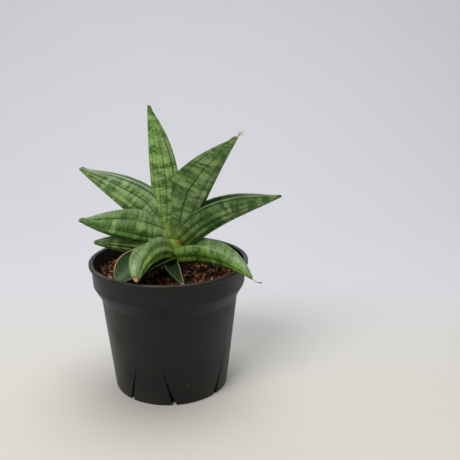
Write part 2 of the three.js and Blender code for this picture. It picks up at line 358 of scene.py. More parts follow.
# %% Lamps
def add_lamp(name, place, aim, size, power):
    light = bpy.data.lights.new(name, "AREA")
    light.shape = "RECTANGLE"
    light.size, light.size_y = size
    light.energy = power
    lamp = bpy.data.objects.new(name, light)
    lamp.location = place
    lamp.rotation_euler = (Vector(aim) - Vector(place)).to_track_quat("-Z", "Y").to_euler()
    scene.collection.objects.link(lamp)


PLANT_MIDDLE = (0.0, 0.0, 0.08)
add_lamp("key", (-0.4, -0.62, 0.92), PLANT_MIDDLE, (0.55, 0.45), 6.8)
add_lamp("top", (0.1, 0.2, 1.15), PLANT_MIDDLE, (0.9, 0.8), 6.6)
add_lamp("fill", (0.9, -0.6, 0.5), PLANT_MIDDLE, (0.6, 0.8), 0.3)

world = bpy.data.worlds.new("light tent")
world.use_nodes = True
world.node_tree.nodes["Background"].inputs["Color"].default_value = (0.95, 0.97, 1.0, 1.0)
world.node_tree.nodes["Background"].inputs["Strength"].default_value = 0.12
scene.world = world
scene.view_settings.view_transform = "Standard"
print("three lamps and a pale world")

# %% [markdown]
# ## The pot
# A nursery pot is thin black plastic, moulded in one piece: a tapered body, a slanted step, a
# collar that the next pot stacks on, and a narrow rolled lip. It is a turned shape, so its
# half-outline is spun about Z. A Bevel modifier then rounds its edges as the mould did. The slits
# that drain it are cut afterwards, so that their edges stay crisp.

# %% Sizes of the pot
pot_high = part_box("pot")[1]
POT_HEIGHT = pot_high.z
RIM_RADIUS = pot_high.x
LIP_HEIGHT = 2.4 * MM
LIP_REACH = 1.3 * MM
COLLAR_FOOT = POT_HEIGHT - 12.6 * MM
STEP_FOOT = COLLAR_FOOT - 7.6 * MM
COLLAR_TOP_RADIUS = RIM_RADIUS - LIP_REACH
COLLAR_FOOT_RADIUS = COLLAR_TOP_RADIUS - 0.7 * MM
BODY_TOP_RADIUS = COLLAR_FOOT_RADIUS - 4.2 * MM
FOOT_RADIUS = 32.8 * MM
WALL = 1.1 * MM
FLOOR_RISE = 1.8 * MM
FLOOR_TOP = FLOOR_RISE + 1.3 * MM
FOOT_RING = 3.4 * MM
HUB_RADIUS = 9 * MM
POT_SIDES = 192


def wall_radius(z):
    """Outside of the pot's wall at a height, lip left out."""
    if z >= COLLAR_FOOT:
        share = (z - COLLAR_FOOT) / (POT_HEIGHT - COLLAR_FOOT)
        return COLLAR_FOOT_RADIUS + (COLLAR_TOP_RADIUS - COLLAR_FOOT_RADIUS) * share
    if z >= STEP_FOOT:
        share = (z - STEP_FOOT) / (COLLAR_FOOT - STEP_FOOT)
        return BODY_TOP_RADIUS + (COLLAR_FOOT_RADIUS - BODY_TOP_RADIUS) * share
    return FOOT_RADIUS + (BODY_TOP_RADIUS - FOOT_RADIUS) * z / STEP_FOOT


print("the pot is", round(POT_HEIGHT / MM, 1), "mm high and", round(2 * RIM_RADIUS / MM, 1), "mm wide")

# %% Turning the pot
def spin(name, outline, sides):
    """Turn a half-outline, which starts and ends on the axis, about Z into a closed mesh."""
    builder = bmesh.new()
    rings = []
    for radius, z in outline:
        if radius == 0:
            rings.append([builder.verts.new((0, 0, z))] * sides)
            continue
        angles = [2 * math.pi * i / sides for i in range(sides)]
        rings.append([builder.verts.new((radius * math.cos(a), radius * math.sin(a), z)) for a in angles])
    for lower, upper in zip(rings, rings[1:]):
        for i in range(sides):
            j = (i + 1) % sides
            corners = dict.fromkeys((lower[i], lower[j], upper[j], upper[i]))
            builder.faces.new(corners)
    mesh = bpy.data.meshes.new(name)
    builder.to_mesh(mesh)
    builder.free()
    return mesh


def pot_outline():
    ring_inside = FOOT_RADIUS - FOOT_RING
    outside = [
        (0, 0),
        (HUB_RADIUS, 0),
        (HUB_RADIUS + FLOOR_RISE, FLOOR_RISE),
        (ring_inside - FLOOR_RISE, FLOOR_RISE),
        (ring_inside, 0),
        (FOOT_RADIUS, 0),
        (BODY_TOP_RADIUS, STEP_FOOT),
        (COLLAR_FOOT_RADIUS, COLLAR_FOOT),
        (wall_radius(POT_HEIGHT - LIP_HEIGHT), POT_HEIGHT - LIP_HEIGHT),
        (RIM_RADIUS, POT_HEIGHT - LIP_HEIGHT + 0.4 * MM),
        (RIM_RADIUS, POT_HEIGHT),
    ]
    heights = (POT_HEIGHT, COLLAR_FOOT, STEP_FOOT, FLOOR_TOP)
    inside = [(wall_radius(z) - WALL, z) for z in heights]
    return outside + inside + [(0, FLOOR_TOP)]


pot = add_mesh("nursery_pot", spin("nursery pot", pot_outline(), POT_SIDES))
rounding = pot.modifiers.new("mould rounding", "BEVEL")
rounding.width = 0.55 * MM
rounding.segments = 4
rounding.limit_method = "ANGLE"
rounding.angle_limit = math.radians(12)
plain_mesh(pot)
print("the turned pot has", len(pot.data.polygons), "faces")

# %% [markdown]
# The slits are cut from the foot up the wall, by turns leaning left and right. Each is widest at
# the ground and closes to a hairline, because the moulded cut springs open there. The cutters are
# thin wedges, and one Boolean modifier takes them all away.

# %% Cutting the slits
SLIT_COUNT = 8
SLIT_START = math.radians(7)
SLIT_HEIGHT = 24 * MM
SLIT_WIDTH = 2.6 * MM
SLIT_TIP = 0.16 * MM
SLIT_LEAN = 6.5 * MM
SLIT_STEPS = 8
SLIT_INNER_END = FOOT_RADIUS - 5 * MM


def slit_edges(lean):
    """The two edges of a slit, as sideways place and height from the ground to the tip."""
    left, right = [(-SLIT_WIDTH / 2, -MM)], [(SLIT_WIDTH / 2, -MM)]
    for step in range(SLIT_STEPS + 1):
        share = step / SLIT_STEPS
        half = (SLIT_TIP + (SLIT_WIDTH - SLIT_TIP) * (1 - share) ** 1.5) / 2
        left.append((lean * share - half, SLIT_HEIGHT * share))
        right.append((lean * share + half, SLIT_HEIGHT * share))
    return left + right[::-1]


def slit_heading(index):
    return FRONT + SLIT_START + 2 * math.pi * index / SLIT_COUNT


def add_slit_wedge(builder, heading, lean):
    out = Vector((math.cos(heading), math.sin(heading), 0))
    side = Vector((-out.y, out.x, 0))
    loops = []
    for reach in (SLIT_INNER_END, RIM_RADIUS):
        corners = [out * reach + side * x + Vector((0, 0, z)) for x, z in slit_edges(lean)]
        loops.append([builder.verts.new(corner) for corner in corners])
    inner, outer = loops
    builder.faces.new(inner[::-1])
    builder.faces.new(outer)
    for i in range(len(inner)):
        j = (i + 1) % len(inner)
        builder.faces.new((inner[i], inner[j], outer[j], outer[i]))


wedge_builder = bmesh.new()
for slit in range(SLIT_COUNT):
    add_slit_wedge(wedge_builder, slit_heading(slit), -SLIT_LEAN if slit % 2 == 0 else SLIT_LEAN)
bmesh.ops.recalc_face_normals(wedge_builder, faces=wedge_builder.faces)
wedge_mesh = bpy.data.meshes.new("slit wedges")
wedge_builder.to_mesh(wedge_mesh)
wedge_builder.free()
wedges = add_mesh("slit_wedges", wedge_mesh)
cutting = pot.modifiers.new("slits", "BOOLEAN")
cutting.operation = "DIFFERENCE"
cutting.solver = "EXACT"
cutting.object = wedges
plain_mesh(pot)
bpy.data.objects.remove(wedges)
pot.data.shade_smooth()
pot.data.set_sharp_from_angle(angle=math.radians(28))
print("after cutting, the pot has", len(pot.data.polygons), "faces")

# %% [markdown]
# The plastic is nearly black and satin. Handling has left it uneven: faint cloudy patches in its
# gloss and sparse pale specks of dust. The lip is paler, partly rubbed and partly a painted
# highlight, and the slanted step is darkened as painted shade. The dust is a shader group that the
# pot uses at two sizes. The cloudy haze is another, and most of the later materials use it too.

# %% Dust and haze groups
def make_dust_group():
    """Sparse specks: Amount grows them. Puts out a mask."""
    inputs = {"Size": NUMBER, "Amount": NUMBER, "Seed": NUMBER}
    tree, given, out = new_tree("dust specks", "ShaderNodeTree", inputs, {"Mask": NUMBER})
    cells = place_node(tree, "ShaderNodeTexVoronoi", voronoi_dimensions="4D")
    feed(tree, cells.inputs["Vector"], object_place(tree))
    feed(tree, cells.inputs["W"], given["Seed"])
    feed(tree, cells.inputs["Scale"], formula(tree, "DIVIDE", 1.0, given["Size"]))
    distance = Wire(tree, cells.outputs["Distance"])
    parts = place_node(tree, "ShaderNodeSeparateColor", {0: Wire(tree, cells.outputs["Color"])})
    chance = Wire(tree, parts.outputs[0])
    speck = 1 - ramp(distance, 0.03, 0.1)
    feed(tree, out.inputs["Mask"], speck * chance.below(given["Amount"]))
    return tree


def make_haze_group():
    """Cloudy patches with a fine grain in them. Puts out a mask around a half."""
    inputs = {"Scale": NUMBER, "Seed": NUMBER}
    tree, given, out = new_tree("cloudy haze", "ShaderNodeTree", inputs, {"Haze": NUMBER, "Grain": NUMBER})
    where = object_place(tree)
    patches = cloud(tree, where, given["Scale"], 4.0, given["Seed"], 0.6)
    feed(tree, out.inputs["Haze"], ramp(patches, 0.3, 0.7))
    feed(tree, out.inputs["Grain"], cloud(tree, where, given["Scale"] * 40, 2.0, given["Seed"]))
    return tree


dust_specks = make_dust_group()
cloudy_haze = make_haze_group()
print("made", dust_specks.name, "and", cloudy_haze.name)

# %% The black plastic
def make_pot_plastic():
    material, tree, shader = new_material("black pot plastic", IOR=1.49, Specular_IOR_Level=0.30)
    place = place_node(tree, "ShaderNodeSeparateXYZ", {0: object_place(tree)})
    height = Wire(tree, place.outputs[2])
    haze = use_group(tree, cloudy_haze, Scale=45.0, Seed=3.0)
    dust = use_group(tree, dust_specks, Size=5.5 * MM, Amount=0.12, Seed=7.0)
    fine_dust = use_group(tree, dust_specks, Size=1.6 * MM, Amount=0.05, Seed=2.0)
    specks = (dust["Mask"] + fine_dust["Mask"] * 0.6).unit()
    # painted highlight and wear: the lip is paler, partly rubbed plastic and partly a painted highlight on
    # its edge
    rubbed_and_highlight = ramp(height, POT_HEIGHT - 0.9 * MM, POT_HEIGHT - 0.1 * MM) * (0.05 + haze["Haze"] * 0.3)
    settled = ramp(height, 12 * MM, 0.0) * haze["Haze"] * 0.10
    color = blend(tree, haze["Haze"], srgb(18, 18, 17), srgb(25, 25, 23))
    # painted shade: the slanted step between body and collar is darkened nearly to black
    above_foot = ramp(height, STEP_FOOT, STEP_FOOT + 1.5 * MM)
    under_collar = ramp(height, COLLAR_FOOT + 1 * MM, COLLAR_FOOT - 2 * MM)
    color = blend(tree, above_foot * under_collar, color, srgb(6, 6, 6))
    color = blend(tree, settled.unit(), color, srgb(120, 108, 92))
    color = blend(tree, rubbed_and_highlight.unit(), color, srgb(118, 112, 106))
    color = blend(tree, specks * 0.75, color, srgb(150, 145, 138))
    feed(tree, shader.inputs["Base Color"], color)
    feed(tree, shader.inputs["Roughness"], 0.40 + haze["Haze"] * 0.12 + specks * 0.2)
    add_bump(tree, shader, haze["Grain"] + specks, 0.05 * MM, 0.35)
    return material


pot.data.materials.append(make_pot_plastic())
finish_piece(pot, ["pot"])

# %% [markdown]
# ## The leaves
# Every leaf follows one rule, so one Geometry Nodes tree makes them all from named sizes. The keel
# is a curve stepped out from its rise at base, middle and tip. Along it stands a section like a
# boat's: a hull from rim to rim, two rounded rims, and an inner face that closes the channel
# towards the blunt tip. The tree starts from a plain grid, whose rows run along the leaf and whose
# columns run round the section, and moves each point to its place.

# %% Rings and columns of a leaf
ROWS = 150
HULL = 56  # columns on the hull
RIM = 8  # columns on each rim
INNER = 24  # columns on the inner face
HULL_END = HULL
INNER_START = HULL + RIM
INNER_END = HULL + RIM + INNER
COLUMNS = HULL + 2 * RIM + INNER + 1  # the last column closes on the first
RIM_SHARE = 0.3  # thickness of a rim, as a share of the wall at the keel
CHANNEL_END = 1.5  # how late the channel fills up towards the tip
RIM_DROP = 4  # how late the rims sink to the middle of the tip

LEAF_INPUTS = {
    "Start": "NodeSocketVector",
    "Heading": NUMBER,
    "Turn": NUMBER,
    "Rise at base": NUMBER,
    "Rise at middle": NUMBER,
    "Rise at tip": NUMBER,
    "Length": NUMBER,
    "Breadth": NUMBER,
    "Depth": NUMBER,
    "Wall": NUMBER,
    "Roll": NUMBER,
    "Neck breadth": NUMBER,
    "Neck depth": NUMBER,
    "Fullest": NUMBER,
    "Taper": NUMBER,
    "Tip": NUMBER,
    "Rib": NUMBER,
    "Strips": NUMBER,
    "Seed": NUMBER,
    "Skin": "NodeSocketMaterial",
}


def strip_place(around, strips, seed):
    """Where a point lies across the skin's lengthwise strips, which are not all equally wide."""
    return around * strips / 2 + (around * 3.1 + seed).sin() * 0.22 + seed


print("a leaf has", ROWS, "rows and", COLUMNS, "columns")

# %% The keel
def share_of(row):
    """Place along the leaf, 0 to 1, with rows crowded at the tip. Row 0 closes the base."""
    last = ROWS - 2
    return ((row - 1).up_to(last) * (math.pi / 2 / last)).sin()


def rise_at(size, share):
    """How steeply the keel climbs: a quadratic through its base, middle and tip values."""
    base = size["Rise at base"] * (1 - share) * (1 - share * 2)
    middle = size["Rise at middle"] * share * (1 - share) * 4
    tip = size["Rise at tip"] * share * (share * 2 - 1)
    return base + middle + tip


def along_at(tree, size, share):
    rise = rise_at(size, share)
    heading = size["Heading"] + size["Turn"] * share
    return vector(tree, rise.cos() * heading.cos(), rise.cos() * heading.sin(), rise.sin())


def keel_points(tree, size, row):
    """The keel as a line of points, each stepped on from the one before."""
    index = Wire(tree, tree.nodes.new("GeometryNodeInputIndex").outputs[0])
    here = share_of(index)
    before = share_of(index - 1)
    step = scaled(along_at(tree, size, (here + before) / 2), (here - before) * size["Length"])
    running = place_node(tree, "GeometryNodeAccumulateField", {0: step}, data_type="FLOAT_VECTOR")
    line = place_node(tree, "GeometryNodeMeshLine", {"Count": ROWS})
    points = Wire(tree, line.outputs[0])
    walked = summed(Wire(tree, running.outputs[0]), size["Start"])
    inputs = {"Geometry": points, "Value": walked, "Index": row}
    sample = place_node(tree, "GeometryNodeSampleIndex", inputs, data_type="FLOAT_VECTOR")
    return Wire(tree, sample.outputs[0])


print("the keel is stepped out row by row")

# %% The section
def swell(size, share, closing, neck, full):
    """A size along the leaf: it grows from the neck, then shrinks as the leaf closes."""
    rising = (share / size["Fullest"]).unit() * (math.pi / 2)
    growing = between(size[neck], size[full], rising.sin())
    shrinking = between(size[full], size["Tip"], closing)
    young = share.below(size["Fullest"])
    return between(shrinking, growing, young)


def section_point(tree, size, share, column):
    """A point of the section: across, inward, middle height, and its marks for the skin."""
    past = ((share - size["Fullest"]) / (1 - size["Fullest"])).unit()
    closing = past ** size["Taper"]
    half = swell(size, share, closing, "Neck breadth", "Breadth") / 2
    depth = swell(size, share, closing, "Neck depth", "Depth")
    wall = depth * between(size["Wall"] / size["Depth"], 1.0, closing**CHANNEL_END)
    rim_height = depth * (1 - closing**RIM_DROP / 2)
    rim = size["Wall"].at_most(half) * RIM_SHARE
    bend = (formula(tree, "ARCTAN2", rim_height, half) * 2).at_most(math.pi / 2)

    hull_place = 1 - column.up_to(HULL) * (2 / HULL)
    inner_place = (column - INNER_START).up_to(INNER) * (2 / INNER) - 1
    inside = column.below(INNER_END + 0.5) * (1 - column.below(INNER_START - 0.5))
    outside = column.below(HULL_END + 0.5)
    on_rim = 1 - inside - outside
    far_side = 1 - column.below(INNER_START + INNER / 2)
    sign = far_side * 2 - 1
    around = outside * hull_place + inside * inner_place + on_rim * sign

    rise = (1 - (bend * around).cos()) / (1 - bend.cos())
    groove = (strip_place(around, size["Strips"], size["Seed"]) * (2 * math.pi)).cos()
    rib = size["Rib"] * groove * outside * (1 - closing) * (1 - around**8)
    swing = bend * around
    hull_x = half * swing.sin() / bend.sin() + rib * swing.sin()
    hull_y = rim_height * rise - rib * swing.cos()
    inner_x = (half - rim) * around
    inner_y = between(wall, rim_height, rise)
    near_steps = (column - HULL_END).up_to(RIM)
    far_steps = (column - INNER_END).up_to(RIM)
    turn = (near_steps + far_steps - far_side * RIM) * (math.pi / RIM)
    rim_x = sign * (half - rim / 2) - rim / 2 * turn.cos()
    rim_y = rim_height + rim / 2 * turn.sin()
    x = outside * hull_x + inside * inner_x + on_rim * rim_x
    y = outside * hull_y + inside * inner_y + on_rim * rim_y
    middle = (rim_height + rim / 2) / 2
    return x, y, middle, {"around": around, "inside": inside, "crest": on_rim * turn.sin()}


def tip_dome(size, share):
    """Shrinks the section to a round end over the last stretch of the leaf."""
    dome = size["Tip"] * 0.6
    past = (((share - 1) * size["Length"] + dome) / dome).unit()
    return (1 - past * past).at_least(0.0) ** 0.5


print("the section has a hull, two rims and an inner face")

# %% The leaf tree
def make_leaf_tree():
    tree, size, out = new_tree("boat leaf", "GeometryNodeTree", LEAF_INPUTS, {"Leaf": SHAPE})
    index = Wire(tree, tree.nodes.new("GeometryNodeInputIndex").outputs[0])
    row = (index / COLUMNS).whole()
    column = index - row * COLUMNS
    share = share_of(row)
    x, y, middle, marks = section_point(tree, size, share, column)
    marks["share"] = share
    marks["along"] = share * size["Length"]
    open_end = tip_dome(size, share) * (1 - row.below(0.5))
    x = x * open_end
    y = middle + (y - middle) * open_end

    rise = rise_at(size, share)
    heading = size["Heading"] + size["Turn"] * share
    up = vector(tree, 0 - rise.sin() * heading.cos(), 0 - rise.sin() * heading.sin(), rise.cos())
    right = vector(tree, heading.sin(), 0 - heading.cos(), 0.0)
    roll = size["Roll"]
    across_amount = x * roll.cos() + y * roll.sin()
    up_amount = y * roll.cos() - x * roll.sin()
    foot = keel_points(tree, size, row)
    place = summed(foot, scaled(right, across_amount), scaled(up, up_amount))

    grid = place_node(tree, "GeometryNodeMeshGrid", {"Vertices X": ROWS, "Vertices Y": COLUMNS})
    # The grid's faces look into the leaf once its points are placed, so they are turned outward.
    outward = place_node(tree, "GeometryNodeFlipFaces", {"Mesh": Wire(tree, grid.outputs[0])})
    shape = Wire(tree, outward.outputs[0])
    for name, value in marks.items():
        inputs = {"Geometry": shape, "Name": name, "Value": value}
        stored = place_node(tree, "GeometryNodeStoreNamedAttribute", inputs, data_type="FLOAT")
        shape = Wire(tree, stored.outputs[0])
    for kind, inputs in (
        ("GeometryNodeSetPosition", {"Position": place}),
        ("GeometryNodeMergeByDistance", {"Distance": 0.001 * MM}),
        ("GeometryNodeRealizeInstances", {}),
        ("GeometryNodeSetMaterial", {"Material": size["Skin"]}),
    ):
        shape = Wire(tree, place_node(tree, kind, {"Geometry": shape, **inputs}).outputs[0])
    feed(tree, out.inputs["Leaf"], shape)
    return tree


leaf_tree = make_leaf_tree()
print("the leaf tree has", len(leaf_tree.nodes), "nodes")

# %% [markdown]
# The skin of a leaf carries four things: irregular paler and darker bands that cross it, dark
# lines that run its whole length and close in at the tip, a thin dry margin on each rim, and a dry
# tip. Each one is a shader group that reads the place stored on the leaf by the tree, so the
# pattern follows the leaf wherever it bends. The lines use the same rule as the leaf's ribs. The
# skin also has painted light and shade: a pale painted sheen where it faces the sky, painted shade
# on its undersides and towards the edges of its hull, and per-leaf painted shade and painted light.

# %% Leaf skin groups
def make_band_group():
    inputs = {"Around": NUMBER, "Along": NUMBER, "Strips": NUMBER, "Seed": NUMBER}
    outputs = {"Bands": NUMBER, "Mottle": NUMBER, "Dashes": NUMBER}
    tree, given, out = new_tree("cross bands", "ShaderNodeTree", inputs, outputs)
    strip = strip_place(given["Around"], given["Strips"], given["Seed"]).whole()
    shift = (strip * 12.9).sin() * 0.16
    length = given["Along"] / MM
    wide = vector(tree, given["Around"] * 1.3, length / 3.4 + shift, 0.0)
    fine = vector(tree, given["Around"] * 7.0, length / 1.1 + shift, 0.0)
    dash = vector(tree, given["Around"] * 5.5, length / 0.55 + shift * 2, 0.0)
    bands = cloud(tree, wide, 1.0, 3.0, given["Seed"], 0.5)
    mottle = cloud(tree, fine, 1.0, 4.0, given["Seed"] + 4, 0.6)
    dashes = cloud(tree, dash, 1.0, 2.0, given["Seed"] + 6, 0.3)
    feed(tree, out.inputs["Bands"], ramp(bands, 0.36, 0.6))
    feed(tree, out.inputs["Mottle"], ramp(mottle, 0.38, 0.58))
    feed(tree, out.inputs["Dashes"], ramp(dashes, 0.52, 0.68))
    return tree


def make_line_group():
    inputs = {"Around": NUMBER, "Along": NUMBER, "Strips": NUMBER, "Seed": NUMBER}
    outputs = {"Lines": NUMBER, "Streaks": NUMBER}
    tree, given, out = new_tree("lengthwise lines", "ShaderNodeTree", inputs, outputs)
    length = given["Along"] / MM
    wobble = cloud(tree, vector(tree, length / 9.0, given["Around"] * 2, 0.0), 1.0, 2.0, given["Seed"])
    place = strip_place(given["Around"] + (wobble - 0.5) * 0.07, given["Strips"], given["Seed"])
    apart = (place.fraction() - 0.5).size()
    strip = place.whole()
    strength = cloud(tree, vector(tree, strip * 3.7, length / 26.0, 0.0), 1.0, 1.0, given["Seed"] + 9)
    lines = (1 - ramp(apart, 0.025, 0.09)) * (0.4 + ramp(strength, 0.38, 0.56) * 0.6)
    streak = cloud(tree, vector(tree, given["Around"] * 26, length / 30.0, 0.0), 1.0, 2.0, given["Seed"])
    feed(tree, out.inputs["Lines"], lines)
    feed(tree, out.inputs["Streaks"], streak)
    return tree


def make_dry_edge_group():
    """Margins along the rims, and the tip beyond a given length."""
    inputs = {"Crest": NUMBER, "Along": NUMBER, "Length": NUMBER, "Tip": NUMBER, "Seed": NUMBER}
    outputs = {"Margin": NUMBER, "Dry tip": NUMBER, "Ring": NUMBER}
    tree, given, out = new_tree("dry edges", "ShaderNodeTree", inputs, outputs)
    ragged = cloud(tree, object_place(tree), 900.0, 3.0, given["Seed"]) - 0.5
    edge = given["Crest"] + ragged * 0.5
    left_over = given["Length"] - given["Along"] + ragged * 1.4 * MM
    feed(tree, out.inputs["Margin"], ramp(edge, 0.55, 0.95))
    feed(tree, out.inputs["Dry tip"], 1 - ramp(left_over, given["Tip"] * 0.6, given["Tip"]))
    before = 1 - ramp(left_over, given["Tip"], given["Tip"] * 1.7)
    beyond = ramp(left_over, given["Tip"] * 0.4, given["Tip"])
    feed(tree, out.inputs["Ring"], before * beyond)
    return tree


cross_bands = make_band_group()
lengthwise_lines = make_line_group()
dry_edges = make_dry_edge_group()
print("made", cross_bands.name + ",", lengthwise_lines.name, "and", dry_edges.name)

# %% Leaf colours
PALE_GREEN = srgb(186, 220, 134)
MID_GREEN = srgb(112, 162, 64)
DARK_GREEN = srgb(44, 88, 26)
DASH_GREEN = srgb(34, 70, 22)
PAINTED_SHEEN_GREEN = srgb(206, 218, 190)  # painted sheen: the pale grey-green of a highlight on the leaf
LINE_GREEN = srgb(24, 48, 22)
HEART_GREEN = srgb(162, 190, 84)
INNER_GREEN = srgb(60, 106, 40)
FRESH_AND_LIT_GREEN = srgb(176, 222, 92)
PAINTED_SHADE_GREEN = srgb(26, 46, 24)
DRY_TAN = srgb(196, 160, 118)
DRY_BROWN = srgb(112, 78, 48)


@dataclass
class Leaf:
    """Sizes in millimetres and degrees, as the plant was measured."""

    name: str
    out: float  # from the crown's middle, along the heading
    above_lip: float
    heading: float
    rise: tuple  # of the keel, at base, middle and tip
    length: float
    breadth: float
    depth: float
    neck: tuple  # breadth and depth at the stem
    wall: float = 5
    turn: float = 0
    roll: float = 0
    fullest: float = 0.42
    taper: float = 1.6
    tip: float = 1.6
    rib: float = 0.32
    strips: float = 6
    seed: float = 0
    # painted shade: how much the leaf is darkened for the shade it lies in
    painted_shade: float = 0  # how much darker than the brightest leaf, 0 to 1
    margin: float = 0.12  # how dry and tan the rims are
    inner: float = 0.8  # how much darker the inner face is
    dry_side: float = 0  # 1 or -1 if one rim is drier
    dry_tip: float = 1.2
    # painted sheen: how strongly the leaf's faces towards the sky are paled
    painted_sheen: float = 0.15
    young: float = 0.0  # how much brighter and yellower the green is: painted light on the leaves the lamps catch most, and a fresher green on the young upright leaf
    tip_color: tuple = DRY_TAN


def mixed(first, second, share):
    """A plain colour between two others."""
    return tuple(a + (b - a) * share for a, b in zip(first, second))


def facing_up(tree):
    """1 where the surface faces the sky, 0 or less where it faces the side or the ground."""
    normal = tree.nodes.new("ShaderNodeNewGeometry").outputs["Normal"]
    return Wire(tree, place_node(tree, "ShaderNodeSeparateXYZ", {0: Wire(tree, normal)}).outputs[2])


def make_skin(leaf):
    material, tree, shader = new_material(leaf.name + " skin", IOR=1.45, Specular_IOR_Level=0.55)
    around = attribute(tree, "around")
    along = attribute(tree, "along")
    share = attribute(tree, "share")
    inside = attribute(tree, "inside")
    crest = attribute(tree, "crest")
    common = {"Around": around, "Along": along, "Seed": leaf.seed}
    band = use_group(tree, cross_bands, Strips=leaf.strips, **common)
    line = use_group(tree, lengthwise_lines, Strips=leaf.strips, **common)
    end = {"Length": leaf.length * MM, "Tip": leaf.dry_tip * MM}
    edge = use_group(tree, dry_edges, Crest=crest, Along=along, Seed=leaf.seed, **end)
    haze = use_group(tree, cloudy_haze, Scale=60.0, Seed=leaf.seed)

    # painted light: young brightens and yellows the greens of front-lit leaves; on the upright leaf it is
    # also a fresher green
    pale = mixed(PALE_GREEN, FRESH_AND_LIT_GREEN, leaf.young)
    middle = mixed(MID_GREEN, FRESH_AND_LIT_GREEN, leaf.young * 0.6)
    color = blend(tree, band["Bands"], pale, middle)
    color = blend(tree, band["Mottle"] * (0.25 + band["Bands"] * 0.6), color, DARK_GREEN)
    color = blend(tree, haze["Haze"] * 0.15, color, MID_GREEN)
    # painted shade: darker towards the edges of the hull, where it turns away from the light
    color = blend(tree, ramp(around.size(), 0.6, 1.0) * 0.2, color, DARK_GREEN)
    color = blend(tree, ramp(line["Streaks"], 0.48, 0.7) * 0.4, color, DARK_GREEN)
    near_base = 1 - ramp(share, 0.1, 0.5)
    dashed = band["Dashes"] * (0.25 + band["Bands"] * 0.3 + near_base * 0.4)
    color = blend(tree, dashed, color, DASH_GREEN)
    sky = facing_up(tree)
    # painted sheen: faces turned to the sky are paled towards a grey-green highlight
    painted_sheen_mask = (ramp(sky, -0.15, 0.65) * leaf.painted_sheen * (0.3 + haze["Haze"] * 0.5)).unit()
    color = blend(tree, painted_sheen_mask, color, PAINTED_SHEEN_GREEN)
    # painted shade: faces turned to the ground are darkened
    color = blend(tree, (1 - ramp(sky, -0.9, -0.1)) * 0.7, color, DARK_GREEN)
    color = blend(tree, inside * leaf.inner, color, INNER_GREEN)
    color = blend(tree, line["Lines"] * (0.9 - inside * 0.6), color, LINE_GREEN)
    color = blend(tree, (1 - ramp(share, 0.02, 0.22)) * 0.6, color, HEART_GREEN)
    # painted shade: each leaf is darkened by its own amount, for the shade it lies in
    color = blend(tree, leaf.painted_shade, color, PAINTED_SHADE_GREEN)
    margin = edge["Margin"]
    if leaf.dry_side:
        margin = margin * (0.2 + (around * leaf.dry_side).unit() * 0.8)
    color = blend(tree, ramp(crest, 0.0, 0.3) * 0.45, color, DARK_GREEN)
    color = blend(tree, margin * leaf.margin, color, DRY_TAN)
    color = blend(tree, edge["Ring"] * 0.85, color, DRY_BROWN)
    color = blend(tree, edge["Dry tip"], color, leaf.tip_color)
    feed(tree, shader.inputs["Base Color"], color)
    dry = (edge["Dry tip"] + margin * leaf.margin).unit()
    feed(tree, shader.inputs["Roughness"], 0.30 + haze["Haze"] * 0.12 + dry * 0.35)
    height = line["Streaks"] * 0.6 + haze["Grain"] * 0.5 - line["Lines"] * 0.9 - band["Dashes"] * 0.2
    add_bump(tree, shader, height, 0.14 * MM, 0.6)
    return material


print("a skin is made for each leaf, from its own seed")

# %% [markdown]
# The leaves grow in turn round a short stem. The low ones are short and lie over the mix or hang
# over the lip, and the young ones in the heart stand up. A row below gives what makes each leaf
# itself; the tree does the rest.

# %% The leaves of this plant
CROWN = Vector((4, -2, 0)) * MM

